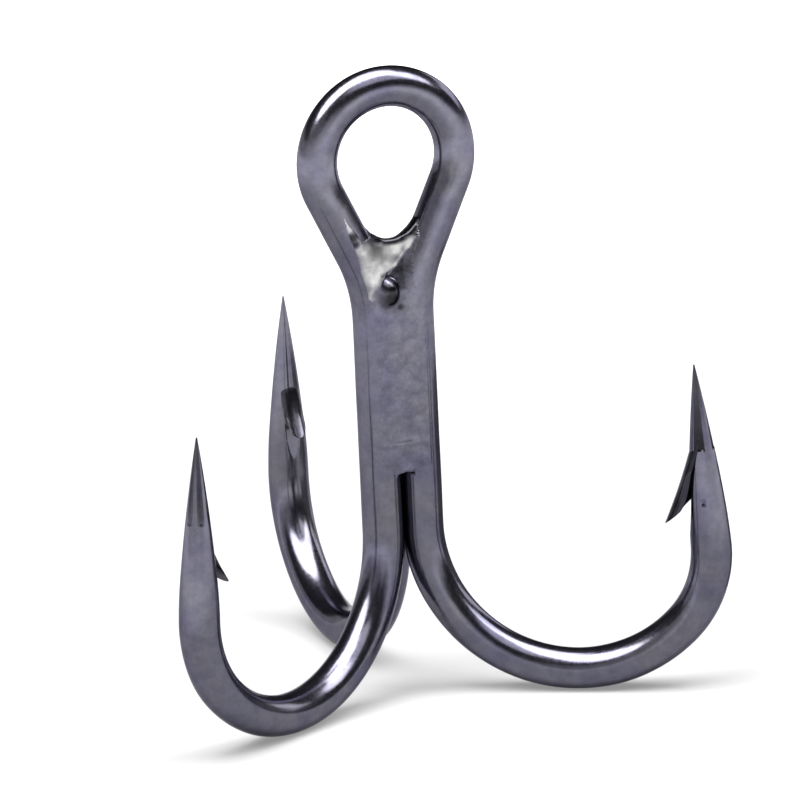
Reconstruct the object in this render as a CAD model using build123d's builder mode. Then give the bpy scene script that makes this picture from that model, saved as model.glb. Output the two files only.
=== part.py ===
from build123d import *
import os
from math import sin, cos, sqrt, radians

# Treble hook: one double hook bent from a single wire with its eye, one single
# hook laid in behind it, and braze run into the grooves between the shanks.
# The hook stands on its bends: +Z up the shank, eye on top, brazed front to -Y.

# ------------------------------------------------------------------ driving dimensions, mm
WIRE = 1.60              # wire diameter, both wires
GAP = 0.05               # capillary gap between neighbouring shanks
BEND_R = 5.80            # centreline radius from the shank round the bottom
BEND_TURN = 137.0        # degrees turned at that radius
THROAT_R = 4.30          # tighter centreline radius up to the point
THROAT_TURN = 46.0       # degrees, so the point leans 3 degrees in towards the shank
POINT_LEN = 7.15         # straight length from the throat to the tip
TAPER_LEN = 6.60         # ground length of the point
TIP_R = 0.03             # rounded-off radius left at the tip
BELLY = 0.085            # how far the ground point bulges past a plain cone

EYE_R = 2.82             # centreline radius of the eye
EYE_Z = 21.32            # height of the eye's centre above the surface the hook stands on
FLARE_R = 6.30           # centreline radius where each shank opens out to the eye
FLARE = 25.0             # degrees each eye leg leans out

BARB_START = 3.35        # barb, measured down from the tip along the point
BARB_ROOT = 5.30
BARB_TIP = 6.35
BARB_OUT = 1.78          # barb tip's distance from the point's axis
BARB_ROOT_OUT = 0.58     # depth of the knife cut, from the axis
BARB_CUT_END = 6.95

SINGLE_TOP = 15.55       # height of the single hook's cut end, just under the eye legs
END_CHAMFER = 0.22

BRAZE_LOW = 8.85         # lower end of the braze in the front groove
BRAZE_FACE = 0.74        # front face, out from the plane of the two front shanks
LIP_Z = 10.10            # raised lip across the front shanks
LIP_TALL = 0.42
LIP_OUT = 0.90
LIP_HALF = 1.00
SIDE_LOW = 8.40          # lower end of the braze in the two rear grooves
SIDE_FACE = 0.60
WEB_TOP = 18.12          # lowest point of the eye's opening
WEB_TOP_R = 1.15         # radius of the braze where it closes the eye

# ------------------------------------------------------------------ derived
R = WIRE / 2
PITCH = WIRE + GAP
OFFSET = PITCH / sqrt(3)                 # shank centre to hook axis
BEND_Z = BEND_R + R                      # the bends rest at Z = 0


def c(a):
    return cos(radians(a))


def s(a):
    return sin(radians(a))


TURN = BEND_TURN + THROAT_TURN
REACH = OFFSET + BEND_R * (1 - c(BEND_TURN)) + THROAT_R * (c(BEND_TURN) + 1)
AXIS_Y = -REACH / 4                      # puts the bounding box's middle on the origin
EYE_Y = AXIS_Y - OFFSET / 2              # plane of the eye and of the double hook's shanks

LEG = (EYE_R * c(FLARE) - FLARE_R * (1 - c(FLARE)) - PITCH / 2) / s(FLARE)
FLARE_Z = EYE_Z - EYE_R * s(FLARE) - LEG * c(FLARE) - FLARE_R * s(FLARE)

# the bend's profile in its own plane: x away from the hook axis, y up
bend_mid = (OFFSET + BEND_R * (1 - c(BEND_TURN / 2)), BEND_Z - BEND_R * s(BEND_TURN / 2))
bend_end = (OFFSET + BEND_R * (1 - c(BEND_TURN)), BEND_Z - BEND_R * s(BEND_TURN))


def throat(a):
    return (bend_end[0] + THROAT_R * (c(BEND_TURN) - c(BEND_TURN + a)),
            bend_end[1] - THROAT_R * (s(BEND_TURN + a) - s(BEND_TURN)))


throat_mid = throat(THROAT_TURN / 2)
throat_end = throat(THROAT_TURN)
along = (s(TURN), -c(TURN))              # up the point, towards the tip
inward = (c(TURN), s(TURN))              # from the point towards the shank


def on_point(down, out):
    """A place beside the point: down from its tip, and out from its axis on the shank side."""
    t = POINT_LEN - down
    return (throat_end[0] + along[0] * t + inward[0] * out,
            throat_end[1] + along[1] * t + inward[1] * out)


def bend_plane(azimuth):
    """The upright plane that holds one bend."""
    return Plane(origin=(0, AXIS_Y, 0), x_dir=(c(azimuth), s(azimuth), 0),
                 z_dir=(s(azimuth), -c(azimuth), 0))


def at(azimuth, p):
    return Vector(p[0] * c(azimuth), AXIS_Y + p[0] * s(azimuth), p[1])


def point_and_barb(azimuth):
    """The ground point with its barb, before it joins the wire."""
    plane = bend_plane(azimuth)
    with BuildPart() as sliver:
        # a sliver of the wire's own round surface, lifted off by the knife
        with BuildSketch(plane):
            with BuildLine():
                Polyline(on_point(BARB_START, 0.40), on_point(BARB_TIP, BARB_OUT),
                         on_point(BARB_ROOT, BARB_ROOT_OUT), on_point(BARB_ROOT, 0.20), close=True)
            make_face()
        extrude(amount=R, both=True)
        a, b = at(azimuth, on_point(BARB_START, 0.50)), at(azimuth, on_point(BARB_TIP, BARB_OUT))
        lift = (b - a).normalized()
        under = lift.cross(plane.z_dir).normalized()
        if under.dot(a - at(azimuth, on_point(BARB_START, 0))) > 0:
            under = under * -1
        with BuildSketch(Plane(origin=a + under * 0.66 - lift * 1.0, z_dir=lift)):
            Circle(0.66)
        extrude(amount=6, mode=Mode.INTERSECT)
    with BuildPart() as point:
        base, mid, tip = on_point(TAPER_LEN, R), on_point(TAPER_LEN / 2, R / 2 + BELLY), on_point(0, TIP_R)
        with BuildSketch(plane):
            with BuildLine():
                Line(on_point(TAPER_LEN + 0.01, 0), on_point(TAPER_LEN + 0.01, R))
                Line(on_point(TAPER_LEN + 0.01, R), base)
                ThreePointArc(base, mid, tip)
                Line(tip, on_point(0, 0))
                Line(on_point(0, 0), on_point(TAPER_LEN + 0.01, 0))
            make_face()
        revolve(axis=Axis(at(azimuth, on_point(TAPER_LEN, 0)),
                          at(azimuth, on_point(0, 0)) - at(azimuth, on_point(TAPER_LEN, 0))))
    return point.part, sliver.part


def knife_cut(azimuth):
    """What the knife takes out of the wire behind the barb."""
    with BuildPart() as cut:
        with BuildSketch(bend_plane(azimuth)):
            with BuildLine():
                Polyline(on_point(BARB_ROOT, BARB_ROOT_OUT), on_point(BARB_CUT_END, R + 0.01),
                         on_point(BARB_CUT_END, 1.6), on_point(BARB_ROOT, 1.6), close=True)
            make_face()
        extrude(amount=R, both=True)
    return cut.part


RIGHT, LEFT, BACK = -30.0, 210.0, 90.0
point_r, sliver_r = point_and_barb(RIGHT)
point_l, sliver_l = point_and_barb(LEFT)
point_b, sliver_b = point_and_barb(BACK)
taper_base = on_point(TAPER_LEN, 0)

# ------------------------------------------------------------------ double hook
# one wire: point, bend, shank, flare, round the eye, and back down to the other point
with BuildPart() as double_hook:
    with BuildLine() as wire:
        Line(at(RIGHT, taper_base), at(RIGHT, throat_end))
        ThreePointArc(at(RIGHT, throat_end), at(RIGHT, throat_mid), at(RIGHT, bend_end))
        ThreePointArc(at(RIGHT, bend_end), at(RIGHT, bend_mid), at(RIGHT, (OFFSET, BEND_Z)))
        Line(at(RIGHT, (OFFSET, BEND_Z)), (PITCH / 2, EYE_Y, FLARE_Z))
        ThreePointArc((PITCH / 2, EYE_Y, FLARE_Z),
                      (PITCH / 2 + FLARE_R * (1 - c(FLARE / 2)), EYE_Y, FLARE_Z + FLARE_R * s(FLARE / 2)),
                      (PITCH / 2 + FLARE_R * (1 - c(FLARE)), EYE_Y, FLARE_Z + FLARE_R * s(FLARE)))
        Line((PITCH / 2 + FLARE_R * (1 - c(FLARE)), EYE_Y, FLARE_Z + FLARE_R * s(FLARE)),
             (EYE_R * c(FLARE), EYE_Y, EYE_Z - EYE_R * s(FLARE)))
        ThreePointArc((EYE_R * c(FLARE), EYE_Y, EYE_Z - EYE_R * s(FLARE)), (0, EYE_Y, EYE_Z + EYE_R),
                      (-EYE_R * c(FLARE), EYE_Y, EYE_Z - EYE_R * s(FLARE)))
        Line((-EYE_R * c(FLARE), EYE_Y, EYE_Z - EYE_R * s(FLARE)),
             (-PITCH / 2 - FLARE_R * (1 - c(FLARE)), EYE_Y, FLARE_Z + FLARE_R * s(FLARE)))
        ThreePointArc((-PITCH / 2 - FLARE_R * (1 - c(FLARE)), EYE_Y, FLARE_Z + FLARE_R * s(FLARE)),
                      (-PITCH / 2 - FLARE_R * (1 - c(FLARE / 2)), EYE_Y, FLARE_Z + FLARE_R * s(FLARE / 2)),
                      (-PITCH / 2, EYE_Y, FLARE_Z))
        Line((-PITCH / 2, EYE_Y, FLARE_Z), at(LEFT, (OFFSET, BEND_Z)))
        ThreePointArc(at(LEFT, (OFFSET, BEND_Z)), at(LEFT, bend_mid), at(LEFT, bend_end))
        ThreePointArc(at(LEFT, bend_end), at(LEFT, throat_mid), at(LEFT, throat_end))
        Line(at(LEFT, throat_end), at(LEFT, taper_base))
    with BuildSketch(Plane(origin=wire.line @ 0, z_dir=wire.line % 0)):
        Circle(R)
    sweep()
    add(point_r)
    add(point_l)
    add(knife_cut(RIGHT), mode=Mode.SUBTRACT)
    add(knife_cut(LEFT), mode=Mode.SUBTRACT)
    add(sliver_r)
    add(sliver_l)
double_length = sum(e.length for e in wire.edges())

# ------------------------------------------------------------------ single hook
with BuildPart() as single_hook:
    with BuildLine() as stem:
        Line(at(BACK, taper_base), at(BACK, throat_end))
        ThreePointArc(at(BACK, throat_end), at(BACK, throat_mid), at(BACK, bend_end))
        ThreePointArc(at(BACK, bend_end), at(BACK, bend_mid), at(BACK, (OFFSET, BEND_Z)))
        Line(at(BACK, (OFFSET, BEND_Z)), at(BACK, (OFFSET, SINGLE_TOP)))
    with BuildSketch(Plane(origin=stem.line @ 0, z_dir=stem.line % 0)):
        Circle(R)
    sweep()
    chamfer(single_hook.faces().sort_by(Axis.Z)[-1].edges(), END_CHAMFER)
    add(point_b)
    add(knife_cut(BACK), mode=Mode.SUBTRACT)
    add(sliver_b)

# ------------------------------------------------------------------ braze
def rear_groove(azimuth):
    """A groove between the single hook's shank and one shank of the double hook."""
    return Plane(origin=(0, AXIS_Y, 0), x_dir=(-s(azimuth), c(azimuth), 0), z_dir=(0, 0, 1))


# the eye's crotch: a web between the two legs, thinning towards its rim
web_top = WEB_TOP + 0.7
web_x = PITCH / 2 + FLARE_R * (1 - c(FLARE)) + (web_top - FLARE_Z - FLARE_R * s(FLARE)) * s(FLARE) / c(FLARE)
with BuildPart() as web:
    with BuildSketch(Plane.XZ.offset(-EYE_Y)):
        with BuildLine():
            Polyline((-web_x, web_top), (-PITCH / 2 - 0.05, FLARE_Z + 0.1), (PITCH / 2 + 0.05, FLARE_Z + 0.1),
                     (web_x, web_top), close=True)
        make_face()
        with Locations((0, WEB_TOP + WEB_TOP_R)):
            Circle(WEB_TOP_R, mode=Mode.SUBTRACT)
    extrude(amount=BRAZE_FACE, both=True)
    with BuildSketch(Plane.YZ):
        with BuildLine():
            Polyline((EYE_Y - BRAZE_FACE, FLARE_Z), (EYE_Y - BRAZE_FACE, FLARE_Z + 0.9), (EYE_Y - 0.34, web_top + 0.1),
                     (EYE_Y + 0.34, web_top + 0.1), (EYE_Y + BRAZE_FACE, FLARE_Z + 0.9), (EYE_Y + BRAZE_FACE, FLARE_Z),
                     close=True)
        make_face()
    extrude(amount=4, both=True, mode=Mode.INTERSECT)

# the front groove, closed by a face nearly level with the two shanks
with BuildPart() as braze_front:
    with BuildSketch(Plane.XY.offset(BRAZE_LOW)):
        with Locations((0, EYE_Y - BRAZE_FACE / 2)):
            Rectangle(PITCH, BRAZE_FACE)
    extrude(amount=FLARE_Z + 0.2 - BRAZE_LOW)
    # rounded lower end, so the groove below opens as a slot
    with BuildSketch(Plane.XZ.offset(-EYE_Y)):
        with Locations((0, BRAZE_LOW)):
            Circle(0.36)
    extrude(amount=BRAZE_FACE + 0.2, mode=Mode.SUBTRACT)
    # raised lip across both front shanks
    with BuildSketch(Plane.XY.offset(LIP_Z - LIP_TALL / 2)):
        with Locations((0, EYE_Y - LIP_OUT / 2 - 0.2)):
            Rectangle(2 * LIP_HALF, LIP_OUT - 0.4)
    extrude(amount=LIP_TALL)
    add(web.part)
    add(double_hook.part, mode=Mode.SUBTRACT)
    add(single_hook.part, mode=Mode.SUBTRACT)

# the channel enclosed by the three shanks
with BuildPart() as braze_core:
    with BuildSketch(Plane.XY.offset(SIDE_LOW)):
        with BuildLine():
            Polyline((PITCH / 2, EYE_Y), (0, AXIS_Y + OFFSET), (-PITCH / 2, EYE_Y), close=True)
        make_face()
    extrude(amount=FLARE_Z + 0.1 - SIDE_LOW)
    add(double_hook.part, mode=Mode.SUBTRACT)
    add(single_hook.part, mode=Mode.SUBTRACT)

# the two rear grooves, hollower than the front one
with BuildPart() as braze_right:
    with BuildSketch(Plane.XY.offset(SIDE_LOW)):
        with BuildLine():
            Polyline((PITCH / 2, EYE_Y), (0, AXIS_Y + OFFSET),
                     (SIDE_FACE * c(30), AXIS_Y + OFFSET + SIDE_FACE * s(30)),
                     (PITCH / 2 + SIDE_FACE * c(30), EYE_Y + SIDE_FACE * s(30)), close=True)
        make_face()
    extrude(amount=FLARE_Z + 0.1 - SIDE_LOW)
    add(double_hook.part, mode=Mode.SUBTRACT)
    add(single_hook.part, mode=Mode.SUBTRACT)

with BuildPart() as braze_left:
    add(braze_right.part)
    mirror(about=Plane.YZ, mode=Mode.REPLACE)

# ------------------------------------------------------------------ write one file for each piece
pieces = (("double_hook", double_hook), ("single_hook", single_hook), ("braze_front", braze_front),
          ("braze_core", braze_core), ("braze_right", braze_right), ("braze_left", braze_left))
print("wire in the double hook", round(double_length + 2 * TAPER_LEN, 2), "flare starts at", round(FLARE_Z, 3),
      "hook axis at y", round(AXIS_Y, 3), "eye plane at y", round(EYE_Y, 3), "tip height", round(on_point(0, 0)[1], 3))
for name, piece in pieces:
    piece.part.label = name
    b = piece.part.bounding_box()
    print(name, len(piece.part.solids()), "volume", round(piece.part.volume, 3), b.min, b.max)
    export_step(piece.part, "parts/" + name + ".step")
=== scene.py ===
import math

import bpy
import numpy as np
from mathutils import Matrix, Vector


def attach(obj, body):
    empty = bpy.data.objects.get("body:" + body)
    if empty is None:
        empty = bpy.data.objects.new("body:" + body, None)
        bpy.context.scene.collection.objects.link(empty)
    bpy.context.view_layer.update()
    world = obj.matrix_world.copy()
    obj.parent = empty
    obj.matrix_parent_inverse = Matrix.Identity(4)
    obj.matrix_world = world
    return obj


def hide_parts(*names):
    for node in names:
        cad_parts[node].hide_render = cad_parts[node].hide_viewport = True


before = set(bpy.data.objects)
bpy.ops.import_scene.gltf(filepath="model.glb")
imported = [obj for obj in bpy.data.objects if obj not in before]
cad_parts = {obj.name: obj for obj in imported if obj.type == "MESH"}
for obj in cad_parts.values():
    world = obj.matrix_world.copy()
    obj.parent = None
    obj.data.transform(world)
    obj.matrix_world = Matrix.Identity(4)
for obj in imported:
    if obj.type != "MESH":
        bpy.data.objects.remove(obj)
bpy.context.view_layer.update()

MM = 0.001

# ------------------------------------------------------------------ the hook's dimensions, mm, as in the CAD part
WIRE, GAP = 1.60, 0.05
BEND_R, BEND_TURN = 5.80, 137.0
THROAT_R, THROAT_TURN = 4.30, 46.0
POINT_LEN, TAPER_LEN, TIP_R, BELLY = 7.15, 6.60, 0.03, 0.085
EYE_R, EYE_Z, FLARE_R, FLARE = 2.82, 21.32, 6.30, 25.0
BARB_START, BARB_ROOT, BARB_TIP, BARB_OUT = 3.35, 5.30, 6.35, 1.78
BARB_CUT_END = 6.95
SINGLE_TOP = 15.55
BRAZE_LOW = 8.85
LIP_Z, SIDE_LOW, WEB_TOP, WEB_TOP_R = 10.10, 8.40, 18.12, 1.15

R = WIRE / 2
PITCH = WIRE + GAP
OFFSET = PITCH / math.sqrt(3)
BEND_Z = BEND_R + R
TURN = BEND_TURN + THROAT_TURN


def c(a):
    return math.cos(math.radians(a))


def s(a):
    return math.sin(math.radians(a))


REACH = OFFSET + BEND_R * (1 - c(BEND_TURN)) + THROAT_R * (c(BEND_TURN) + 1)
AXIS_Y = -REACH / 4
EYE_Y = AXIS_Y - OFFSET / 2
LEG = (EYE_R * c(FLARE) - FLARE_R * (1 - c(FLARE)) - PITCH / 2) / s(FLARE)
FLARE_Z = EYE_Z - EYE_R * s(FLARE) - LEG * c(FLARE) - FLARE_R * s(FLARE)
bend_end = np.array([OFFSET + BEND_R * (1 - c(BEND_TURN)), BEND_Z - BEND_R * s(BEND_TURN)])
throat_end = bend_end + THROAT_R * np.array([c(BEND_TURN) - c(TURN), -(s(TURN) - s(BEND_TURN))])
along = np.array([s(TURN), -c(TURN)])
inward = np.array([c(TURN), s(TURN)])
tip = throat_end + along * POINT_LEN


# ------------------------------------------------------------------ centrelines
def hook_line(fine=0.05, coarse=0.11):
    """(u, z, distance from the tip) down the point, round the bend and up to the start of the shank."""
    pts = []
    for t in np.concatenate([np.linspace(0, 0.4, 14)[:-1], np.arange(0.4, POINT_LEN, fine)]):
        pts.append((*(tip - along * t), t))
    n = int(THROAT_R * math.radians(THROAT_TURN) / coarse)
    for i in range(n + 1):
        a = TURN - THROAT_TURN * i / n
        p = bend_end + THROAT_R * np.array([c(BEND_TURN) - c(a), -(s(a) - s(BEND_TURN))])
        pts.append((*p, POINT_LEN + THROAT_R * math.radians(TURN - a)))
    s1 = POINT_LEN + THROAT_R * math.radians(THROAT_TURN)
    n = int(BEND_R * math.radians(BEND_TURN) / coarse)
    for i in range(1, n + 1):
        a = BEND_TURN * (1 - i / n)
        pts.append((OFFSET + BEND_R * (1 - c(a)), BEND_Z - BEND_R * s(a), s1 + BEND_R * math.radians(BEND_TURN - a)))
    return np.array(pts)


def eye_line(step=0.10):
    """(x, z) of the right-hand leg from the start of the flare up and round to the top of the eye."""
    pts = []
    n = int(FLARE_R * math.radians(FLARE) / step)
    for i in range(1, n + 1):
        a = FLARE * i / n
        pts.append((PITCH / 2 + FLARE_R * (1 - c(a)), FLARE_Z + FLARE_R * s(a)))
    n = int(LEG / step)
    x0, z0 = pts[-1]
    for i in range(1, n + 1):
        pts.append((x0 + s(FLARE) * LEG * i / n, z0 + c(FLARE) * LEG * i / n))
    n = int(EYE_R * math.radians(90 + FLARE) / step)
    for i in range(1, n + 1):
        a = -FLARE + (90 + FLARE) * i / n
        pts.append((EYE_R * c(a), EYE_Z + EYE_R * s(a)))
    return np.array(pts)


def place(azimuth, uz):
    uz = np.atleast_2d(uz)
    return np.stack([uz[:, 0] * c(azimuth), AXIS_Y + uz[:, 0] * s(azimuth), uz[:, 1]], 1)


# ------------------------------------------------------------------ the wire's section along its length
def taper(t):
    """Radius of the sharpened point at a distance t from the tip: the arc through tip, belly and base."""
    x0, y0, x1, y1, x2, y2 = 0, TIP_R, TAPER_LEN / 2, R / 2 + BELLY, TAPER_LEN, R
    d = 2 * (x0 * (y1 - y2) + x1 * (y2 - y0) + x2 * (y0 - y1))
    ux = ((x0**2 + y0**2) * (y1 - y2) + (x1**2 + y1**2) * (y2 - y0) + (x2**2 + y2**2) * (y0 - y1)) / d
    uy = ((x0**2 + y0**2) * (x2 - x1) + (x1**2 + y1**2) * (x0 - x2) + (x2**2 + y2**2) * (x1 - x0)) / d
    rr = math.hypot(x0 - ux, y0 - uy)
    t = np.clip(t, 0, TAPER_LEN + 1.4)
    arc = uy + np.sqrt(rr * rr - (t - ux) ** 2) if uy < y1 else uy - np.sqrt(rr * rr - (t - ux) ** 2)
    h = np.clip(0.5 + 0.5 * (R - arc) / 0.09, 0, 1)
    return R * (1 - h) + arc * h - 0.09 * h * (1 - h)


PRESS = 0.15                                          # the eye was pressed a little flat, front and back


def press(z):
    """Depth over width of the wire's section at a height on the eye."""
    g = np.clip((z - 19.6) / 2.4, 0, 1)
    return 1 - PRESS * g * g * (3 - 2 * g)


FACET_END = 3.30
HALF = {"right": 27.0, "left": 18.0, "back": 22.5}
POINT_SHADE = {"right": 1.0, "left": 0.9, "back": 0.10}     # painted shade on the facets and near the tip, a separate amount for each hook
STEP = {"right": 1.0, "left": 0.25, "back": 0.0}      # how much of the facets' hollow and of their painted shade is left where the facets end
LIFT = {"right": 0.12, "left": 0.42, "back": 0.95}    # each barb was cut this much nearer its point
BARB_HEAD = {"right": 0.0, "left": 0.95, "back": 0.25}  # how much further down than the others each barb starts
BARB_WIDE = {"right": 0.58, "left": 0.42, "back": 0.44}
BARB_CURL = {"right": 1.0, "left": 1.2, "back": 1.3}    # 1 is a straight back, more leaves the wire smoothly
CUT = {"right": 0.80, "left": 0.80, "back": 0.965}      # what the knife left of the wire's radius
# painted shade on each barb: one value for its back, then a darker one for its hollow underside
BARB_SHADE = {"right": (0.80, 0.95), "left": (0.75, 0.9), "back": (0.42, 0.8)}
# centre lines of the ground facets round each point, degrees from the side that faces the shank
FACETS = {"right": (-85.5, 94.5, 180.0), "left": (126.0, 184.5, -90.0, 67.5), "back": (94.5, -94.5, 180.0)}


def apart(phi, centre):
    """Angle between phi and a centre line, degrees, between -180 and 180."""
    return (np.degrees(phi) - centre + 180) % 360 - 180


def section(t, phi, hook_name):
    """Radius at distance t from the tip and angle phi from the side that faces the shank."""
    r = taper(t)
    r = r * (1 + 0.004 * math.sin(1.7 * t + 0.6) * np.sin(2 * phi + 0.3 * t))
    out = r + np.zeros(phi.shape)
    fh, lift = HALF[hook_name], LIFT[hook_name]
    # hollows left by the stone, ended by a small step
    if t < FACET_END + 0.03:
        for centre in FACETS[hook_name]:
            d = apart(phi, centre)
            run = min(t / FACET_END, 1)
            fade = 1 - (1 - STEP[hook_name]) * np.clip((run - 0.55) / 0.45, 0, 1) ** 1.5
            hollow = 1 - (0.03 + 0.05 * run) * fade * np.cos(np.radians(np.clip(d / fh, -1, 1) * 90)) ** 2
            flat = taper(t) * c(fh) / np.cos(np.radians(np.clip(d, -fh, fh))) * hollow
            flat = flat * fade + out * (1 - fade)
            out = np.where(np.abs(d) < fh - 0.1, np.minimum(out, flat), out)
    # knife cut behind the barb
    if BARB_ROOT - lift < t < BARB_CUT_END - lift * 0.5:
        floor_out = taper(BARB_ROOT - lift) * CUT[hook_name]
        level = floor_out + (taper(t) - floor_out) * ((t - BARB_ROOT + lift) / (BARB_CUT_END - BARB_ROOT + lift * 0.5)) ** 1.15
        cosv = np.cos(phi)
        out = np.minimum(out, np.where(cosv > 0.05, level / np.maximum(cosv, 0.05), 9))
    # a pinprick beside one barb
    if hook_name == "right" and abs(t - 5.36) < 0.2:
        q = ((t - 5.36) / 0.10) ** 2 + (apart(phi, -88.0) * math.radians(1) * R / 0.085) ** 2
        out = out - 0.07 * np.exp(-q * 1.5)
    return out


def wear(t, phi, hook_name):
    """Painted shade on the facets and near the tip (first value) and how rubbed the wire is (second)."""
    g = np.zeros(phi.shape) + 0.55 * POINT_SHADE[hook_name] * np.clip(1 - t / 2.0, 0, 1)
    if t < FACET_END + 0.03:
        run = min(t / FACET_END, 1)
        fade = 1 - (1 - STEP[hook_name]) * np.clip((run - 0.55) / 0.45, 0, 1) ** 1.5
        for centre in FACETS[hook_name]:
            g = np.maximum(g, np.where(np.abs(apart(phi, centre)) < HALF[hook_name] - 0.1, POINT_SHADE[hook_name] * (0.70 + 0.30 * run**1.3) * fade, 0))
    return g, np.clip(1 - t / 2.2, 0, 1) + 0 * phi


def sweep_mesh(name, centre, inner, radii, seg, along_uv, painted_shade, rubbed):
    """A tube of quads through the rings. inner: the direction of phi = 0 at each ring.
    UV map run: length and girth. The second UV map: painted shade on the facets and the tip, and how rubbed the wire
    is."""
    n = len(centre)
    tang = np.gradient(centre, axis=0)
    tang /= np.linalg.norm(tang, axis=1)[:, None]
    inner = inner - (inner * tang).sum(1)[:, None] * tang
    inner /= np.linalg.norm(inner, axis=1)[:, None]
    side = np.cross(tang, inner)
    phi = np.linspace(0, 2 * math.pi, seg, endpoint=False)
    verts = (centre[:, None, :] + radii[:, :, None] * (np.cos(phi)[None, :, None] * inner[:, None, :]
                                                      + np.sin(phi)[None, :, None] * side[:, None, :]))
    verts = verts.reshape(-1, 3)
    faces, uvs, wvs = [], [], []
    for i in range(n - 1):
        for j in range(seg):
            k = (j + 1) % seg
            faces.append((i * seg + j, (i + 1) * seg + j, (i + 1) * seg + k, i * seg + k))
            v0, v1 = j / seg, (j + 1) / seg
            uvs += [(along_uv[i], v0), (along_uv[i + 1], v0), (along_uv[i + 1], v1), (along_uv[i], v1)]
            wvs += [(max(painted_shade[i][j], painted_shade[i][k], painted_shade[i + 1][j], painted_shade[i + 1][k]), rubbed[i][j])] * 4
    verts = list(map(tuple, verts * MM))
    for end, ring in ((0, 0), (1, n - 1)):
        verts.append(tuple(centre[ring] * MM))
        ci = len(verts) - 1
        for j in range(seg):
            k = (j + 1) % seg
            a, b = ring * seg + j, ring * seg + k
            faces.append((ci, a, b) if end == 0 else (ci, b, a))
            uvs += [(along_uv[ring], 0.5), (along_uv[ring], j / seg), (along_uv[ring], (j + 1) / seg)]
            wvs += [(0.0, rubbed[ring][j])] * 3
    me = bpy.data.meshes.new(name)
    me.from_pydata(verts, [], faces)
    uv = me.uv_layers.new(name="run")
    uv.data.foreach_set("uv", np.array(uvs, np.float32).ravel())
    uv = me.uv_layers.new(name="wear")
    uv.data.foreach_set("uv", np.array(wvs, np.float32).ravel())
    me.update()
    return me


def new_object(name, me):
    o = bpy.data.objects.new(name, me)
    bpy.context.scene.collection.objects.link(o)
    return o


def recalc(me):
    import bmesh
    bm = bmesh.new()
    bm.from_mesh(me)
    bmesh.ops.recalc_face_normals(bm, faces=bm.faces)
    bm.to_mesh(me)
    bm.free()


# ------------------------------------------------------------------ barb: a sliver with the wire's round back, lifted off by the knife
def on_point(down, out):
    return tip - along * down + inward * out


def barb_mesh(name, azimuth, hook_name):
    """A sliver raised by a knife: the wire's round skin on its back, a hollow cut beneath, sharp at its end."""
    n, k = 56, 16
    f = np.linspace(0, 1, n)
    lift = LIFT[hook_name]
    start, end, root = BARB_START + 0.05 - lift * 0.25 + BARB_HEAD[hook_name], BARB_TIP - lift, BARB_ROOT - lift
    reach = BARB_OUT - 0.27 * lift - 0.04
    s0 = start - 0.45
    down = s0 + (end - s0) * f
    g = np.clip((down - start) / (end - start), 0, 1)
    r0 = taper(start)
    out = np.where(down < start, taper(np.minimum(down, start)) * (0.80 + 0.185 * np.clip((down - s0) / (start - s0), 0, 1)),
                   r0 * 0.985 + (reach - r0 * 0.985) * g ** BARB_CURL[hook_name] - 0.05 * np.sin(math.pi * g))
    outer = np.stack([down, out], 1)
    # underside: buried in the point as far as the root, then free to the end
    ro = taper(root) * 0.80
    kd = [s0, (s0 + root) / 2, root + 0.12, root + 0.12 + 0.24 * (end - root), root + 0.12 + 0.56 * (end - root), end]
    ko = [0.05, 0.20, ro - 0.02, ro + 0.24 * (reach - ro), ro + 0.58 * (reach - ro), reach - 0.01]
    ks = [0.0, 0.45, 0.70, 0.80, 0.90, 1.0]
    under = np.stack([np.interp(f, ks, kd), np.interp(f, ks, ko)], 1)
    for _ in range(2):
        under[1:-1] = (under[:-2] + 2 * under[1:-1] + under[2:]) / 4
    back = np.clip(taper(down) * 0.97, 0.2, BARB_WIDE[hook_name]) * (1 - 0.10 * g)
    if hook_name != "right":
        back = back * (0.40 + 0.60 * np.clip((down - s0) / 1.5, 0, 1) ** 0.8)
    plane_dir = np.array([c(azimuth), s(azimuth), 0.0])
    side_dir = np.array([s(azimuth), -c(azimuth), 0.0])
    m = 2 * k
    pts, faces = [], []
    for i in range(n):
        vec = under[i] - outer[i]
        th = max(np.linalg.norm(vec), 0.012)
        vec = vec / max(np.linalg.norm(vec), 1e-6)
        use = min(th, back[i] * 0.92)
        pmax = math.acos(1 - use / back[i])
        ring = []
        for j in range(k):
            psi = -pmax + 2 * pmax * j / (k - 1)
            d, b = back[i] * (1 - math.cos(psi)), back[i] * math.sin(psi)
            ring.append((outer[i] + vec * d, b))
        for j in range(k):
            q = 1 - 2 * (j + 0.5) / k
            b = back[i] * math.sin(pmax) * q
            ring.append((outer[i] + vec * (th + (use - th) * q * q - 0.03 * (1 - q * q) * min(1, th / 0.3)), b))
        for p, b in ring:
            uz = on_point(p[0], p[1])
            pts.append(tuple((np.array([0, AXIS_Y, 0]) + plane_dir * uz[0] + np.array([0, 0, uz[1]]) + side_dir * b) * MM))
    for i in range(n - 1):
        for j in range(m):
            l = (j + 1) % m
            faces.append((i * m + j, i * m + l, (i + 1) * m + l, (i + 1) * m + j))
    faces.append(tuple(range(m))[::-1])
    faces.append(tuple((n - 1) * m + j for j in range(m)))
    me = bpy.data.meshes.new(name)
    me.from_pydata(pts, [], faces)
    uv = me.uv_layers.new(name="run")
    uw = me.uv_layers.new(name="wear")
    for poly in me.polygons:
        for li in poly.loop_indices:
            vi = me.loops[li].vertex_index
            uv.data[li].uv = (down[min(vi // m, n - 1)], (vi % m) / m * 0.3)
            # painted shade on the barb, darker on its underside
            uw.data[li].uv = (BARB_SHADE[hook_name][1 if vi % m >= k else 0], 0.0)
    me.update()
    recalc(me)
    return me


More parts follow.
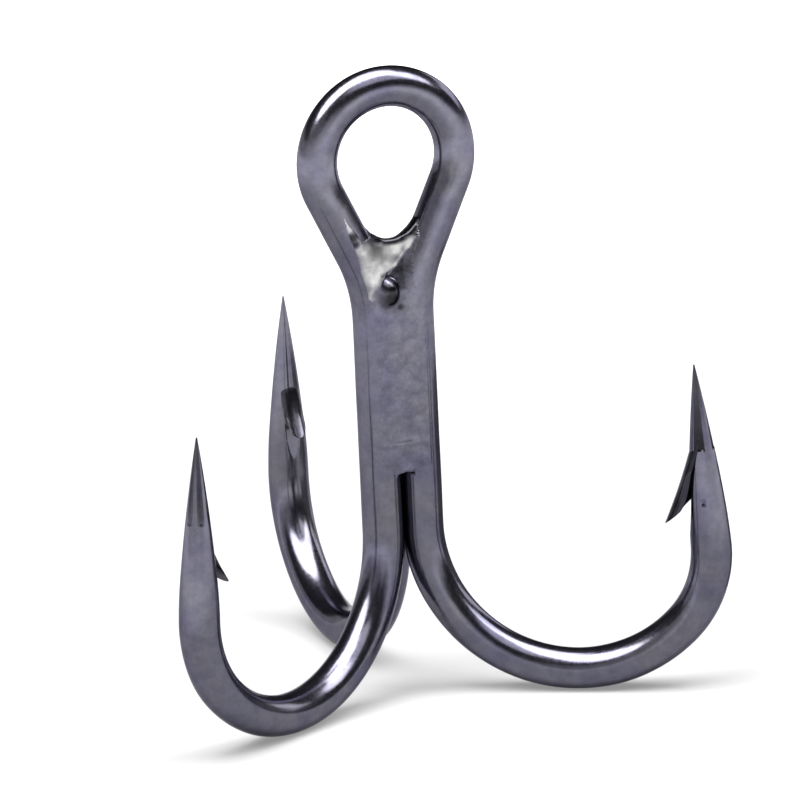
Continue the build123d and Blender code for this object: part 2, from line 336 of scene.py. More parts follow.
def unite(target, tool):
    mod = target.modifiers.new("union", "BOOLEAN")
    mod.operation, mod.solver, mod.object = "UNION", "EXACT", tool
    bpy.context.view_layer.update()
    dg = bpy.context.evaluated_depsgraph_get()
    me = bpy.data.meshes.new_from_object(target.evaluated_get(dg))
    target.modifiers.clear()
    old = target.data
    target.data = me
    bpy.data.meshes.remove(old)
    bpy.data.objects.remove(tool)


def shade(me, angle=21):
    me.shade_smooth()
    me.set_sharp_from_angle(angle=math.radians(angle))


SEG = 80
hook = hook_line()
n_phi = np.linspace(0, 2 * math.pi, SEG, endpoint=False)


def hook_rings(azimuth, hook_name):
    centre = place(azimuth, hook[:, :2])
    d = np.gradient(hook[:, :2], axis=0)
    d /= np.linalg.norm(d, axis=1)[:, None]
    # inner side of the bend: to the left of travel from the tip down
    inn = np.stack([-d[:, 1], d[:, 0]], 1)
    if (inn[0] * inward).sum() < 0:
        inn = -inn
    inner = np.stack([inn[:, 0] * c(azimuth), inn[:, 0] * s(azimuth), inn[:, 1]], 1)
    return centre, inner


def make_double():
    cr, ir = hook_rings(-30.0, "right")
    cl, il = hook_rings(210.0, "left")
    z = np.arange(BEND_Z + 0.12, FLARE_Z, 0.12)
    eye = eye_line()
    leg = np.concatenate([np.stack([np.full(len(z), PITCH / 2), z], 1), [[PITCH / 2, FLARE_Z]], eye])
    right = np.stack([leg[:, 0], np.full(len(leg), EYE_Y), leg[:, 1]], 1)
    left = (right * [-1, 1, 1])[:-1][::-1]
    mid = np.concatenate([right, left])
    centre = np.concatenate([cr, mid, cl[::-1]])
    # phi = 0 turns from each bend's inner side to the outward side of the eye without a twist
    tang = np.gradient(centre, axis=0)
    tang /= np.linalg.norm(tang, axis=1)[:, None]
    inner = np.zeros_like(centre)
    inner[: len(ir)] = ir
    v = ir[-1]
    for i in range(len(ir), len(ir) + len(mid)):
        v = v - tang[i] * (v @ tang[i])
        v /= np.linalg.norm(v)
        inner[i] = v
    # spread the leftover turn over the eye
    target = il[::-1][0]
    target = target - tang[len(ir) + len(mid)] * (target @ tang[len(ir) + len(mid)])
    target /= np.linalg.norm(target)
    t_end = tang[len(ir) + len(mid)]
    left_over = math.atan2(np.cross(v, target) @ t_end, v @ target)
    for k in range(len(mid)):
        i = len(ir) + k
        a = left_over * (k + 1) / len(mid)
        inner[i] = inner[i] * math.cos(a) + np.cross(tang[i], inner[i]) * math.sin(a)
    inner[len(ir) + len(mid):] = il[::-1]
    step = np.concatenate([[0], np.cumsum(np.linalg.norm(np.diff(centre, axis=0), axis=1))])
    total = step[-1]
    t = np.minimum(step, total - step)
    # the second bend is swept from shank to tip, so its girth angle runs the other way
    half = len(ir) + len(mid) // 2
    sides = [(n_phi, "right") if i < half else (-n_phi, "left") for i in range(len(t))]
    rad = np.array([section(ti, p, h) for ti, (p, h) in zip(t, sides)])
    for i in range(len(ir), len(ir) + len(mid)):
        side = np.cross(tang[i], inner[i])
        depth = np.cos(n_phi) * inner[i][1] + np.sin(n_phi) * side[1]
        flat = press(centre[i][2])
        rad[i] = rad[i] / np.sqrt(1 - depth**2 + (depth / flat) ** 2)
    worn = [wear(ti, p, h) for ti, (p, h) in zip(t, sides)]
    return sweep_mesh("double_hook_wire", centre, inner, rad, SEG, step, [w[0] for w in worn], [w[1] for w in worn])


def make_single():
    cb, ib = hook_rings(90.0, "back")
    z = np.arange(BEND_Z + 0.12, SINGLE_TOP - 0.22, 0.12)
    ends = [SINGLE_TOP - 0.22, SINGLE_TOP - 0.12, SINGLE_TOP - 0.05, SINGLE_TOP - 0.012, SINGLE_TOP]
    er = [R, R - 0.02, R - 0.075, R - 0.14, R - 0.24]
    zz = np.concatenate([z, ends])
    stem = np.stack([np.zeros(len(zz)), np.full(len(zz), AXIS_Y + OFFSET), zz], 1)
    centre = np.concatenate([cb, stem])
    inner = np.concatenate([ib, np.repeat(ib[-1:], len(stem), 0)])
    step = np.concatenate([[0], np.cumsum(np.linalg.norm(np.diff(centre, axis=0), axis=1))])
    rad = [section(t, n_phi, "back") for t in step[: len(cb) + len(z)]] + [np.full(SEG, r) for r in er]
    worn = [wear(t, n_phi, "back") for t in step]
    return sweep_mesh("single_hook_wire", centre, inner, np.array(rad), SEG, step, [w[0] for w in worn], [w[1] for w in worn])


double = new_object("double_hook_wire", make_double())
recalc(double.data)
for az, nm in ((-30.0, "right"), (210.0, "left")):
    unite(double, new_object("barb_" + nm, barb_mesh("barb_" + nm, az, nm)))
single = new_object("single_hook_wire", make_single())
recalc(single.data)
unite(single, new_object("barb_back", barb_mesh("barb_back", 90.0, "back")))
for o in (double, single):
    shade(o.data)


# ------------------------------------------------------------------ braze: level sets of smooth fills, run against the wires
def seg_dist(px, pz, pts):
    """Distance in a plane from each grid point to a polyline."""
    best = np.full(px.shape, 1e9)
    for a, b in zip(pts[:-1], pts[1:]):
        ax, az_ = a
        dx, dz = b[0] - ax, b[1] - az_
        L = dx * dx + dz * dz
        t = np.clip(((px - ax) * dx + (pz - az_) * dz) / L, 0, 1)
        best = np.minimum(best, (px - ax - t * dx) ** 2 + (pz - az_ - t * dz) ** 2)
    return np.sqrt(best)


def smin(a, b, k):
    h = np.clip(0.5 + 0.5 * (b - a) / k, 0, 1)
    return b * (1 - h) + a * h - k * h * (1 - h)


def smax(a, b, k):
    return -smin(-a, -b, k)


def lattice_noise(x, y, z, seed, scale):
    """Smooth value noise on a seeded lattice, one value per point, about -1 to 1."""
    rng = np.random.default_rng(seed)
    tab = rng.uniform(-1, 1, (32, 32, 32))
    p = [v * scale + 100 for v in (x, y, z)]
    i = [np.floor(v).astype(int) for v in p]
    f = [v - w for v, w in zip(p, i)]
    f = [v * v * (3 - 2 * v) for v in f]
    out = 0
    for dx in (0, 1):
        for dy in (0, 1):
            for dz in (0, 1):
                w = (f[0] if dx else 1 - f[0]) * (f[1] if dy else 1 - f[1]) * (f[2] if dz else 1 - f[2])
                out = out + w * tab[(i[0] + dx) % 32, (i[1] + dy) % 32, (i[2] + dz) % 32]
    return out


def surface_net(field, lo, h):
    """Closed quad mesh of field = 0: one vertex in each cell that the surface crosses."""
    nx, ny, nz = field.shape
    neg = field < 0
    cx, cy, cz = nx - 1, ny - 1, nz - 1
    count = np.zeros((cx, cy, cz), int)
    acc = np.zeros((cx, cy, cz, 3))
    corners = [(i, j, k) for i in (0, 1) for j in (0, 1) for k in (0, 1)]
    for a in corners:
        for axis in range(3):
            if a[axis]:
                continue
            b = list(a); b[axis] = 1
            va = field[a[0]:a[0] + cx, a[1]:a[1] + cy, a[2]:a[2] + cz]
            vb = field[b[0]:b[0] + cx, b[1]:b[1] + cy, b[2]:b[2] + cz]
            m = (va < 0) != (vb < 0)
            t = np.where(m, va / np.where(m, va - vb, 1), 0)
            count += m
            for d in range(3):
                acc[..., d] += np.where(m, a[d] + (t if d == axis else 0), 0)
    has = count > 0
    idx = np.full((cx, cy, cz), -1)
    idx[has] = np.arange(has.sum())
    cell = np.argwhere(has)
    verts = (cell + acc[has] / count[has][:, None]) * h + np.array(lo)
    faces = []
    for axis in range(3):
        o1, o2 = [(1, 2), (2, 0), (0, 1)][axis]
        sl_a = [slice(1, -1)] * 3; sl_a[axis] = slice(0, -1)
        sl_b = [slice(1, -1)] * 3; sl_b[axis] = slice(1, None)
        a, b = neg[tuple(sl_a)], neg[tuple(sl_b)]
        for flip, m in ((False, a & ~b), (True, ~a & b)):
            e = np.argwhere(m)
            for d in range(3):
                if d != axis:
                    e[:, d] += 1
            q = []
            for s1, s2 in ((-1, -1), (0, -1), (0, 0), (-1, 0)):
                f = e.copy(); f[:, o1] += s1; f[:, o2] += s2
                q.append(idx[f[:, 0], f[:, 1], f[:, 2]])
            q = np.stack(q, 1)
            faces.append(q[:, ::-1] if flip else q)
    return verts, np.concatenate(faces)


def braze_bare_and_shade(co):
    """Bright bare metal over the patch (first value); painted shade in the pits, in the patch's sharp corners and along
    the rim over the crotch, and darker on the frozen drop and on an oval beside it (second value).
    """
    out = EYE_Y - co[:, 1]
    p = patch_sdf(co[:, 0], co[:, 2])
    n1 = lattice_noise(co[:, 0], co[:, 1], co[:, 2], 41, 3.2)
    n2 = lattice_noise(co[:, 0], co[:, 1], co[:, 2], 43, 7.5)
    # crisp along the lower right edge, faded towards the left leg
    band = 0.20 + 0.45 * np.clip((-0.55 - co[:, 0]) / 0.8, 0, 1)
    bare = np.clip(0.5 - (p + 0.06 + 0.12 * n1 + 0.05 * n2) / band, 0, 1) * np.clip((out + 0.05) / 0.25, 0, 1)
    # darker on the frozen drop, and on an oval beside it
    dark = np.clip(1.35 - 1.30 * np.sqrt(((co[:, 0] + 0.30) / 0.62) ** 2 + ((co[:, 2] - 16.02) / 0.80) ** 2) + 0.15 * n1, 0, 1) * (out > 0.3)
    dark_oval = np.clip(1.2 - np.sqrt(((co[:, 0] - 0.25) / 0.55) ** 2 + ((co[:, 2] - 16.9) / 0.65) ** 2) + 0.35 * n1, 0, 1) * 0.55 * (out > 0.1)
    dark = np.maximum(dark, dark_oval)
    # painted shade along the thin rim over the crotch
    rim = np.hypot(co[:, 0], co[:, 2] - WEB_TOP - WEB_TOP_R) - WEB_TOP_R
    dark = np.maximum(dark, 0.92 * np.clip(1.5 - np.abs(rim) / 0.16, 0, 1) * (co[:, 2] < WEB_TOP + 1.3))
    # painted shade in the sharp corners of the patch and in a pit below the drop
    for px, pz, pr in ((-1.80, 18.55, 0.22), (-1.70, 18.28, 0.15), (1.04, 17.60, 0.26), (1.20, 18.80, 0.42), (0.05, 15.55, 0.14)):
        dark = np.maximum(dark, np.clip(1.5 - np.hypot(co[:, 0] - px, co[:, 2] - pz) / pr, 0, 1) * (out > 0.1))
    return bare * (1 - dark), dark


def level_piece(name, lo, hi, h, func, shade_wear_map=None):
    xs = [np.arange(lo[i] - 2 * h, hi[i] + 2.5 * h, h) for i in range(3)]
    X, Y, Z = np.meshgrid(*xs, indexing="ij")
    f = func(X, Y, Z)
    for ax in range(3):
        for end in (0, -1):
            sl = [slice(None)] * 3; sl[ax] = end
            f[tuple(sl)] = np.maximum(f[tuple(sl)], h)
    verts, faces = surface_net(f, [x[0] for x in xs], h)
    me = bpy.data.meshes.new(name)
    me.from_pydata(list(map(tuple, verts * MM)), [], faces.tolist())
    # keep the largest shell only
    import bmesh
    bm = bmesh.new(); bm.from_mesh(me)
    bmesh.ops.remove_doubles(bm, verts=bm.verts, dist=1e-9)
    bm.verts.ensure_lookup_table()
    seen, groups = set(), []
    for v in bm.verts:
        if v in seen:
            continue
        stack, g = [v], []
        seen.add(v)
        while stack:
            w = stack.pop(); g.append(w)
            for e in w.link_edges:
                o = e.other_vert(w)
                if o not in seen:
                    seen.add(o); stack.append(o)
        groups.append(g)
    groups.sort(key=len)
    for g in groups[:-1]:
        bmesh.ops.delete(bm, geom=g, context="VERTS")
    bmesh.ops.recalc_face_normals(bm, faces=bm.faces)
    bm.to_mesh(me); bm.free()
    uv = me.uv_layers.new(name="run")
    co = np.zeros(len(me.vertices) * 3); me.vertices.foreach_get("co", co); co = co.reshape(-1, 3) / MM
    vi = np.zeros(len(me.loops), int); me.loops.foreach_get("vertex_index", vi)
    uv.data.foreach_set("uv", np.stack([co[vi, 2], (co[vi, 0] + co[vi, 1]) * 0.2], 1).astype(np.float32).ravel())
    if shade_wear_map:
        w0, w1 = shade_wear_map(co)
        uw = me.uv_layers.new(name="wear")
        uw.data.foreach_set("uv", np.stack([w0[vi], w1[vi]], 1).astype(np.float32).ravel())
    me.shade_smooth()
    return me


leg_line = np.concatenate([[[PITCH / 2, 2.0], [PITCH / 2, FLARE_Z]], eye_line(0.2)])


def wires_sdf(X, Y, Z):
    xa, za = np.abs(X[:, :1, :]), Z[:, :1, :]
    flat = seg_dist(xa, za, leg_line)
    d2 = np.sqrt(flat**2 + ((Y - EYE_Y) / press(Z)) ** 2) - R
    d1 = np.maximum(np.sqrt(X**2 + (Y - AXIS_Y - OFFSET) ** 2) - R, Z - SINGLE_TOP)
    return d2, d1


PATCH = np.array([(-2.14, 19.45), (-1.98, 18.75), (-1.62, 17.7), (-1.20, 16.05), (-0.66, 16.70), (0.05, 17.20), (0.92, 18.20), (0.95, 18.60), (-1.40, 18.35)])


def patch_sdf(x, z):
    """Signed distance to the bright patch in the crotch of the eye, seen from the front."""
    d = np.full(x.shape, 1e9)
    inside = np.zeros(x.shape, bool)
    for (ax, az_), (bx, bz) in zip(PATCH, np.roll(PATCH, -1, 0)):
        dx, dz = bx - ax, bz - az_
        t = np.clip(((x - ax) * dx + (z - az_) * dz) / (dx * dx + dz * dz), 0, 1)
        d = np.minimum(d, (x - ax - t * dx) ** 2 + (z - az_ - t * dz) ** 2)
        cross = ((az_ > z) != (bz > z)) & (x < dx * (z - az_) / np.where(dz == 0, 1e-9, dz) + ax)
        inside ^= cross
    d = np.sqrt(d)
    return np.where(inside, -d, d)


def front_braze(X, Y, Z):
    d2, d1 = wires_sdf(X, Y, Z)
    dw = np.minimum(d1, d2)
    out = EYE_Y - Y                                   # distance in front of the shanks' plane
    wob = lattice_noise(X, Y, Z, 5, 1.6)
    fine = lattice_noise(X, Y, Z, 9, 4.5)
    # groove fill with a nearly level face, ripples where it froze, fading out below over the crests of the wires
    low = BRAZE_LOW + 0.12 * np.clip(1 - (X / 0.40) ** 2, 0, 1) - 0.5 * np.clip(np.abs(X) - 0.40, 0, 1)
    lip = 0.016 * np.exp(-((Z - LIP_Z - 0.02 * wob) / 0.11) ** 2) + 0.010 * np.clip((LIP_Z - Z) / 0.25, -1, 1)
    fade = 0.30 * np.clip((9.40 - Z) / 0.55, 0, 1) ** 1.5 * np.clip((np.abs(X) - 0.20) / 0.36, 0, 1) ** 1.3
    # from the shank's level the face ramps back to the thin rim of the web in the crotch
    g = np.clip((Z - 14.9) / (WEB_TOP - 14.9), 0, 1)
    g = g * g * (1.6 - 0.6 * g)
    face = 0.782 + 0.014 * wob + 0.006 * fine + lip - fade - 0.55 * g + 0.05 * X * g
    rear = 0.03 + 0.55 * np.clip((Z - FLARE_Z) / 0.5, 0, 1) - 0.36 * g
    legs = np.interp(Z[:1, :1, :], leg_line[:, 1], np.maximum.accumulate(leg_line[:, 0]))
    zr = WEB_TOP + WEB_TOP_R
    rim = WEB_TOP_R - np.sqrt(X**2 + (Z - zr) ** 2)
    rim = np.where(Z > zr, WEB_TOP_R - np.abs(X), rim)
    fill = np.maximum(np.maximum(np.abs(X) - np.maximum(legs, 0.95), out - face), np.maximum(-out - rear, np.maximum(low - Z, Z - WEB_TOP - 0.75)))
    fill = smax(fill, rim, 0.14)
    # a drop that ran down and froze in front of the crotch
    blob = np.sqrt(((X + 0.40) / 0.44) ** 2 + ((Z - 16.16) / 0.54) ** 2 + ((out - 0.60) / 0.40) ** 2) - 1
    blob = blob * 0.44
    fill = smin(fill, blob, 0.12)
    p = patch_sdf(X[:, :1, :], Z[:, :1, :])
    soft = (0.14 + 0.30 * np.clip(0.4 - p / 0.8, 0, 1) + 0.12 * g) * np.clip((18.95 - Z) / 0.7, 0.12, 1)
    body = smin(dw, fill, soft)
    # small pits where the patch meets the legs and in the drop
    for px, pz, po, pr in ((1.02, 17.62, 0.52, 0.13), (-0.70, 16.56, 0.97, 0.06), (0.02, 15.52, 0.90, 0.09), (0.30, 15.75, 0.88, 0.06)):
        body = smax(body, pr - np.sqrt((X - px) ** 2 + (Z - pz) ** 2 + (out - po) ** 2), 0.05)
    # the patch also coats the inner front of the left leg with a thin skin
    skin = 0.03 * np.clip(0.5 - p / 0.10, 0, 1) * np.clip((out + 0.1) / 0.2, 0, 1)
    body = body - skin
    keep = np.minimum(fill - soft - 0.03, np.where(skin > 0.012, dw - 0.06, 9))
    solid = np.maximum(body + 0.004, -(dw + 0.06))
    return np.maximum(np.maximum(solid, keep), np.where(Z > FLARE_Z - 0.2, -9, -out - 0.03))


def side_braze(sign):
    def f(X, Y, Z):
        d2, d1 = wires_sdf(X, Y, Z)
        dw = np.minimum(d1, d2)
        # axes of this groove: m outwards, l along the line that joins the two shank centres
        mx, my = sign * c(30), s(30)
        ox, oy = sign * PITCH / 4, (EYE_Y + AXIS_Y + OFFSET) / 2
        m = (X - ox) * mx + (Y - oy) * my
        l = -(X - ox) * my * sign + (Y - oy) * mx * sign
        wob = lattice_noise(X, Y, Z, 21 if sign > 0 else 33, 1.5)
        slab = np.maximum(np.maximum(np.abs(l) - 0.62, m - 0.56 - 0.02 * wob), np.maximum(-m - 0.02, np.maximum(SIDE_LOW + 0.1 * wob - Z, Z - SINGLE_TOP + 0.25)))
        body = smin(dw, slab, 0.22)
        solid = np.maximum(body + 0.004, -(dw + 0.05))
        return np.maximum(np.maximum(solid, slab - 0.22), -m - 0.03)
    return f


front = new_object("braze_front_fill", level_piece("braze_front_fill", (-2.45, EYE_Y - 1.10, BRAZE_LOW - 0.3), (1.75, EYE_Y + 0.95, WEB_TOP + 1.6), 0.042, front_braze, braze_bare_and_shade))
br = new_object("braze_right_fill", level_piece("braze_right_fill", (0.1, EYE_Y - 0.2, SIDE_LOW - 0.3), (1.35, AXIS_Y + OFFSET + 0.5, SINGLE_TOP + 0.1), 0.055, side_braze(1)))
bl = new_object("braze_left_fill", level_piece("braze_left_fill", (-1.35, EYE_Y - 0.2, SIDE_LOW - 0.3), (-0.1, AXIS_Y + OFFSET + 0.5, SINGLE_TOP + 0.1), 0.055, side_braze(-1)))

for o, node, sl in ((double, "double_hook", "hook_wire"), (single, "single_hook", "hook_wire"), (front, "braze_front", "braze"),
                    (br, "braze_right", "braze"), (bl, "braze_left", "braze")):
    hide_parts(node)
    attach(o, "root")
print("faces", {o.name: len(o.data.polygons) for o in (double, single, front, br, bl)})


# ------------------------------------------------------------------ materials
def node_tree(name):
    m = bpy.data.materials.new(name)
    m.use_nodes = True
    nt = m.node_tree
    nt.nodes.clear()
    out = nt.nodes.new("ShaderNodeOutputMaterial")
    b = nt.nodes.new("ShaderNodeBsdfPrincipled")
    nt.links.new(b.outputs[0], out.inputs[0])
    return m, nt, b


def N(nt, kind, **kw):
    n = nt.nodes.new(kind)
    for k, v in kw.items():
        if k in n.inputs:
            n.inputs[k].default_value = v
        else:
            setattr(n, k, v)
    return n


def mix(nt, kind, factor, a, b):
    n = nt.nodes.new("ShaderNodeMix")
    n.data_type, n.blend_type = "RGBA", kind
    for socket, v in (("Factor", factor), ("A", a), ("B", b)):
        if isinstance(v, (int, float, tuple)):
            n.inputs[{"Factor": 0, "A": 6, "B": 7}[socket]].default_value = v
        else:
            nt.links.new(v, n.inputs[{"Factor": 0, "A": 6, "B": 7}[socket]])
    return n.outputs[2]


def remap(nt, value, lo, hi, to_lo, to_hi):
    n = nt.nodes.new("ShaderNodeMapRange")
    for i, v in enumerate((lo, hi, to_lo, to_hi)):
        n.inputs[i + 1].default_value = v
    nt.links.new(value, n.inputs[0])
    return n.outputs[0]


def plated(name, base, rough, satin, mottle, streak, grain, shade_wear_kind):
    """Black nickel over steel or braze. The last argument picks how the second UV map is read: 'wire' reads painted
    shade and rubbed, 'braze' reads bare and dark, the dark being painted shade in pits and along the rim and a darker
    drop.
    """
    m, nt, b = node_tree(name)
    L = nt.links.new
    b.inputs["Metallic"].default_value = 1.0
    b.inputs["Specular Tint"].default_value = (0.55, 0.54, 0.57, 1)
    tc = N(nt, "ShaderNodeTexCoord")
    mm = N(nt, "ShaderNodeMapping")
    mm.inputs["Scale"].default_value = (1000, 1000, 1000)
    L(tc.outputs["Object"], mm.inputs["Vector"])
    uvm = N(nt, "ShaderNodeUVMap", uv_map="run")
    run = N(nt, "ShaderNodeMapping")
    run.inputs["Scale"].default_value = (0.55, 26, 1)
    L(uvm.outputs["UV"], run.inputs["Vector"])
    cloud = N(nt, "ShaderNodeTexNoise", Scale=0.55, Detail=4.0, Roughness=0.55)
    blot = N(nt, "ShaderNodeTexNoise", Scale=2.1, Detail=3.0, Roughness=0.55)
    speck = N(nt, "ShaderNodeTexNoise", Scale=7.5, Detail=4.0, Roughness=0.65)
    lines = N(nt, "ShaderNodeTexNoise", Scale=1.0, Detail=3.0, Roughness=0.7)
    for t in (cloud, blot, speck):
        L(mm.outputs[0], t.inputs["Vector"])
    L(run.outputs[0], lines.inputs["Vector"])
    ramp = N(nt, "ShaderNodeValToRGB")
    e = ramp.color_ramp.elements
    e[0].position, e[0].color = 0.32, (base[0] * 0.88, base[1] * 0.87, base[2] * 0.98, 1)
    e[1].position, e[1].color = 0.70, (base[0] * 1.12, base[1] * 1.12, base[2] * 1.02, 1)
    mid = e.new(0.5)
    mid.color = (base[0], base[1], base[2], 1)
    L(cloud.outputs["Fac"], ramp.inputs["Fac"])
    r2 = N(nt, "ShaderNodeValToRGB")
    r2.color_ramp.elements[0].position, r2.color_ramp.elements[0].color = 0.36, (0.70, 0.69, 0.72, 1)
    r2.color_ramp.elements[1].position, r2.color_ramp.elements[1].color = 0.62, (1.16, 1.15, 1.14, 1)
    L(blot.outputs["Fac"], r2.inputs["Fac"])
    col = mix(nt, "MULTIPLY", mottle, ramp.outputs["Color"], r2.outputs["Color"])
    r3 = N(nt, "ShaderNodeValToRGB")
    r3.color_ramp.elements[0].position, r3.color_ramp.elements[0].color = 0.34, (0.78, 0.78, 0.79, 1)
    r3.color_ramp.elements[1].position, r3.color_ramp.elements[1].color = 0.66, (1.10, 1.10, 1.10, 1)
    L(speck.outputs["Fac"], r3.inputs["Fac"])
    col = mix(nt, "MULTIPLY", mottle, col, r3.outputs["Color"])
    ro = remap(nt, speck.outputs["Fac"], 0.3, 0.7, rough, rough + satin)
    if shade_wear_kind:
        uw = N(nt, "ShaderNodeUVMap", uv_map="wear")
        sep = N(nt, "ShaderNodeSeparateXYZ")
        L(uw.outputs["UV"], sep.inputs[0])
        if shade_wear_kind == "wire":
            # painted shade: the facets, the tip and the barbs are mixed towards near black
            col = mix(nt, "MIX", sep.outputs[0], col, mix(nt, "MIX", blot.outputs["Fac"], (0.005, 0.005, 0.006, 1), (0.020, 0.020, 0.022, 1)))
            bright = remap(nt, lines.outputs["Fac"], 0.55, 0.75, 0.0, 0.30)
            both = nt.nodes.new("ShaderNodeMath")
            both.operation = "MULTIPLY"
            L(bright, both.inputs[0])
            L(sep.outputs[1], both.inputs[1])
            col = mix(nt, "MIX", both.outputs[0], col, (0.34, 0.34, 0.36, 1))
        else:
            bare = mix(nt, "MIX", remap(nt, cloud.outputs["Fac"], 0.38, 0.60, 0.0, 1.0), (0.27, 0.27, 0.27, 1), (0.74, 0.74, 0.73, 1))
            bare = mix(nt, "MULTIPLY", 0.55, bare, r2.outputs["Color"])
            col = mix(nt, "MIX", sep.outputs[0], col, bare)
            # bare metal there is matt where it froze
            mr = nt.nodes.new("ShaderNodeMath")
            mr.operation = "MULTIPLY_ADD"
            mr.inputs[1].default_value = 0.13
            L(sep.outputs[0], mr.inputs[0])
            L(ro, mr.inputs[2])
            ro = mr.outputs[0]
            # painted shade: the braze is mixed towards near black in its pits and along the rim, and darker on the drop
            col = mix(nt, "MIX", sep.outputs[1], col, mix(nt, "MIX", speck.outputs["Fac"], (0.012, 0.012, 0.014, 1), (0.040, 0.040, 0.044, 1)))
    L(col, b.inputs["Base Color"])
    L(ro, b.inputs["Roughness"])
    b1 = N(nt, "ShaderNodeBump", Strength=streak, Distance=0.000010)
    L(lines.outputs["Fac"], b1.inputs["Height"])
    b2 = N(nt, "ShaderNodeBump", Strength=grain, Distance=0.00002)
    L(speck.outputs["Fac"], b2.inputs["Height"])
    L(b1.outputs["Normal"], b2.inputs["Normal"])
    b3 = N(nt, "ShaderNodeBump", Strength=grain, Distance=0.00005)
    L(blot.outputs["Fac"], b3.inputs["Height"])
    L(b2.outputs["Normal"], b3.inputs["Normal"])
    L(b3.outputs["Normal"], b.inputs["Normal"])
    return m


STEEL = (0.1130, 0.1110, 0.1420)
wire_mat = plated("black_nickel_wire", STEEL, 0.165, 0.06, 0.42, 0.20, 0.05, "wire")
fill_mat = plated("black_nickel_braze", (0.116, 0.114, 0.145), 0.20, 0.08, 0.62, 0.0, 0.09, "braze")
braze_mat = plated("black_nickel_braze_plain", (0.122, 0.120, 0.151), 0.17, 0.10, 0.60, 0.0, 0.22, "")


def assign(o, m):
    o.data.materials.clear()
    o.data.materials.append(m)


for o in (double, single):
    assign(o, wire_mat)
assign(front, fill_mat)
for o in (br, bl):
    assign(o, braze_mat)
assign(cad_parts["braze_core"], braze_mat)

# ------------------------------------------------------------------ camera
CAM = Vector((-0.201649, -0.542567 + AXIS_Y * MM, 0.171110))
RIGHT = Vector((0.9232888, -0.38212025, -0.03901175))
FOCAL, ZOOM = 5284.58, 2.95
aim = Vector((0.0, AXIS_Y * MM - 0.0008, 0.01175))
fwd = (aim - CAM).normalized()
right = (RIGHT - fwd * RIGHT.dot(fwd)).normalized()
up = right.cross(fwd).normalized()
cam_data = bpy.data.cameras.new("camera")
cam_data.sensor_width = 36
cam_data.lens = FOCAL * 36 / 800 * ZOOM
cam_data.clip_start, cam_data.clip_end = 0.05, 50
cam = bpy.data.objects.new("camera", cam_data)
bpy.context.scene.collection.objects.link(cam)
cam.matrix_world = Matrix((
    (right.x, up.x, -fwd.x, CAM.x), (right.y, up.y, -fwd.y, CAM.y), (right.z, up.z, -fwd.z, CAM.z), (0, 0, 0, 1)))
bpy.context.scene.camera = cam

# directions for placing lights: to the camera's right, away from the camera, up
rx = Vector((right.x, right.y, 0)).normalized()
ry = Vector((-rx.y, rx.x, 0))


def spot(x, y, z):
    return rx * x + ry * y + Vector((0, 0, z))


# ------------------------------------------------------------------ floor, backdrop, lights
def plane_mesh(name, pts):
    me = bpy.data.meshes.new(name)
    me.from_pydata([tuple(p) for p in pts], [], [tuple(range(len(pts)))])
    me.update()
    return new_object(name, me)


floor = plane_mesh("floor", [(3 * math.cos(a), 3 * math.sin(a), 0) for a in np.linspace(0, 2 * math.pi, 96, endpoint=False)])
fm, nt, b = node_tree("floor_paper_painted_glow")
fn = N(nt, "ShaderNodeTexNoise", Scale=3.0, Detail=2.0)
fr = N(nt, "ShaderNodeValToRGB")
fr.color_ramp.elements[0].color = (0.225, 0.225, 0.226, 1)
fr.color_ramp.elements[1].color = (0.238, 0.238, 0.239, 1)
nt.links.new(fn.outputs["Fac"], fr.inputs["Fac"])
nt.links.new(fr.outputs["Color"], b.inputs["Base Color"])
b.inputs["Roughness"].default_value = 0.9
b.inputs["Specular IOR Level"].default_value = 0.1
b.inputs["Emission Color"].default_value = (1, 1, 1, 1)
# painted light: the floor glows, dimmer near the hook as painted shade and brighter farther out
ft = N(nt, "ShaderNodeTexCoord")
fl = N(nt, "ShaderNodeVectorMath")
fl.operation = "LENGTH"
nt.links.new(ft.outputs["Object"], fl.inputs[0])
floor_glow = N(nt, "ShaderNodeMapRange")
floor_glow.interpolation_type = "SMOOTHSTEP"
for i_, v_ in enumerate((0.022, 0.100, 0.27, 1.48)):
    floor_glow.inputs[i_ + 1].default_value = v_
nt.links.new(fl.outputs["Value"], floor_glow.inputs[0])
nt.links.new(floor_glow.outputs[0], b.inputs["Emission Strength"])
assign(floor, fm)

# backdrop: a pale shell far outside, seen by the camera only, so every view has a plain pale ground
rings, cols = 10, 48
bp, bf = [], []
for i in range(rings + 1):
    a = math.radians(90 * i / rings)
    for j in range(cols):
        t = 2 * math.pi * j / cols
        bp.append((1.1 * math.cos(a) * math.cos(t), 1.1 * math.cos(a) * math.sin(t), -0.001 + 1.1 * math.sin(a)))
for i in range(rings):
    for j in range(cols):
        k = (j + 1) % cols
        bf.append((i * cols + j, i * cols + k, (i + 1) * cols + k, (i + 1) * cols + j))
bme = bpy.data.meshes.new("backdrop")
bme.from_pydata(bp, [], bf)
backdrop = new_object("backdrop", bme)
bm_, nt, b = node_tree("backdrop_paper")
b.inputs["Base Color"].default_value = (0, 0, 0, 1)
b.inputs["Emission Color"].default_value = (1, 1, 1, 1)
b.inputs["Emission Strength"].default_value = 1.04
assign(backdrop, bm_)
for attr in ("visible_diffuse", "visible_glossy", "visible_transmission", "visible_shadow", "visible_volume_scatter"):
    setattr(backdrop, attr, False)


def toward(az, el):
    """Unit vector; azimuth 0 is the camera's side, positive to the camera's right."""
    return spot(c(el) * s(az), -c(el) * c(az), s(el))


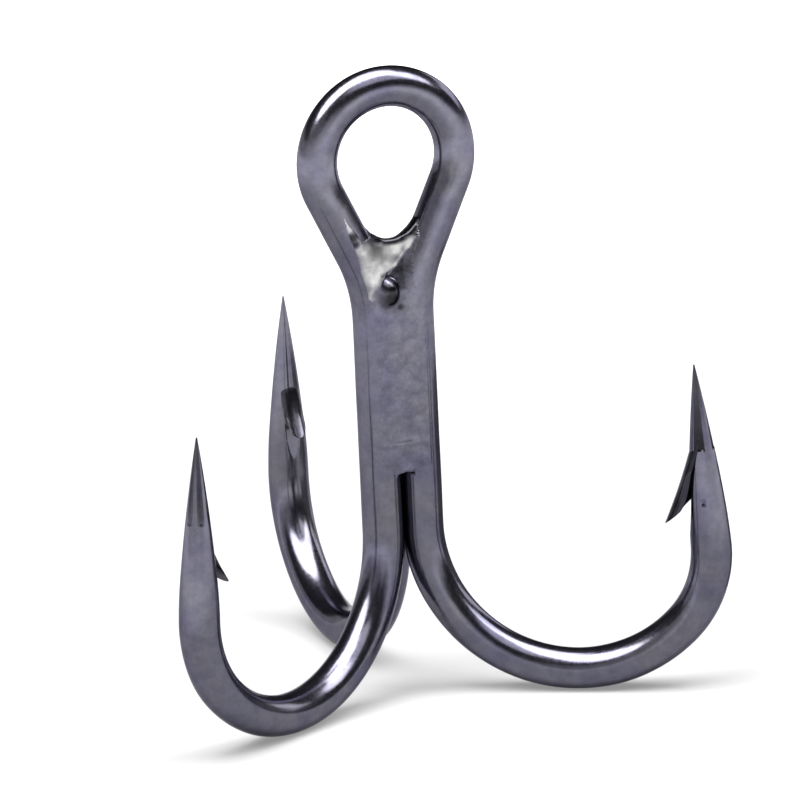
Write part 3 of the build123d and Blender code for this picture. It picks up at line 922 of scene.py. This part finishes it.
def softbox(name, az, el, wide, tall, radiance, tint=(1, 1, 1), dist=0.60, shape="ELLIPSE"):
    """A round or square softbox that covers wide by tall degrees as seen from the hook."""
    d = bpy.data.lights.new(name, "AREA")
    d.shape = shape
    d.size, d.size_y = 2 * dist * math.tan(math.radians(wide / 2)), 2 * dist * math.tan(math.radians(tall / 2))
    area = d.size * d.size_y * (math.pi / 4 if shape == "ELLIPSE" else 1)
    d.energy = radiance * area * math.pi
    d.color = tint
    o = bpy.data.objects.new(name, d)
    bpy.context.scene.collection.objects.link(o)
    z = toward(az, el)
    centre = z * dist + Vector((0, 0, 0.01))
    x = Vector((0, 0, 1)).cross(z).normalized()
    y = z.cross(x)
    o.matrix_world = Matrix(((x.x, y.x, z.x, centre.x), (x.y, y.y, z.y, centre.y), (x.z, y.z, z.z, centre.z), (0, 0, 0, 1)))
    o.visible_camera = False
    return o


softbox("key", -50, 58, 38, 52, 11.5)
softbox("top", 20, 84, 52, 46, 10.5)
softbox("right", 46, 54, 54, 40, 2.4, (0.98, 0.98, 1.0))
softbox("right_strip", 80, 50, 26, 44, 8.5)


def card(name, az0, az1, el0, el1, radiance, dist=1.4):
    """A curved card, seen only as a reflection in the metal."""
    cols_ = max(2, int((az1 - az0) / 4))
    pts, faces_ = [], []
    for i in range(cols_ + 1):
        a = az0 + (az1 - az0) * i / cols_
        base_ = spot(s(a) * dist, -c(a) * dist, 0)
        pts += [tuple(base_ + Vector((0, 0, dist * math.tan(math.radians(el0))))), tuple(base_ + Vector((0, 0, dist * math.tan(math.radians(el1)))))]
    for i in range(cols_):
        faces_.append((2 * i, 2 * i + 2, 2 * i + 3, 2 * i + 1))
    me = bpy.data.meshes.new(name)
    me.from_pydata(pts, [], faces_)
    o = new_object(name, me)
    mt, nt_, bb = node_tree(name + "_paper")
    bb.inputs["Base Color"].default_value = (0, 0, 0, 1)
    bb.inputs["Specular IOR Level"].default_value = 0.0
    bb.inputs["Emission Color"].default_value = (1, 1, 1, 1)
    bb.inputs["Emission Strength"].default_value = radiance
    assign(o, mt)
    for attr in ("visible_camera", "visible_diffuse", "visible_transmission", "visible_shadow", "visible_volume_scatter"):
        setattr(o, attr, False)
    return o


card("wall_left", -180, -62, -1, 13, 0.85)
card("wall_front", -62, -9, -1, 9, 1.25)
card("wall_front_upper", -62, -9, 9, 27, 0.60)
card("wall_near_right", 19, 62, -1, 7, 0.95)
card("wall_right", 62, 180, -1, 3, 0.80)
card("wall_gap", -9, 19, -1, 9, 1.50)
card("wall_gap_upper", -9, 19, 9, 16, 0.60)
card("rim_right", 105, 155, 9, 27, 3.2)
card("flag_right", 88, 150, 0.5, 24, 0.30, 0.0185)

world = bpy.data.worlds.new("room")
world.use_nodes = True
world.node_tree.nodes["Background"].inputs["Color"].default_value = (0.96, 0.96, 1.0, 1)
world.node_tree.nodes["Background"].inputs["Strength"].default_value = 0.07
bpy.context.scene.world = world

bpy.context.scene.view_settings.view_transform = "Standard"
bpy.context.scene.view_settings.look = "None"
bpy.context.scene.view_settings.exposure = 0.0
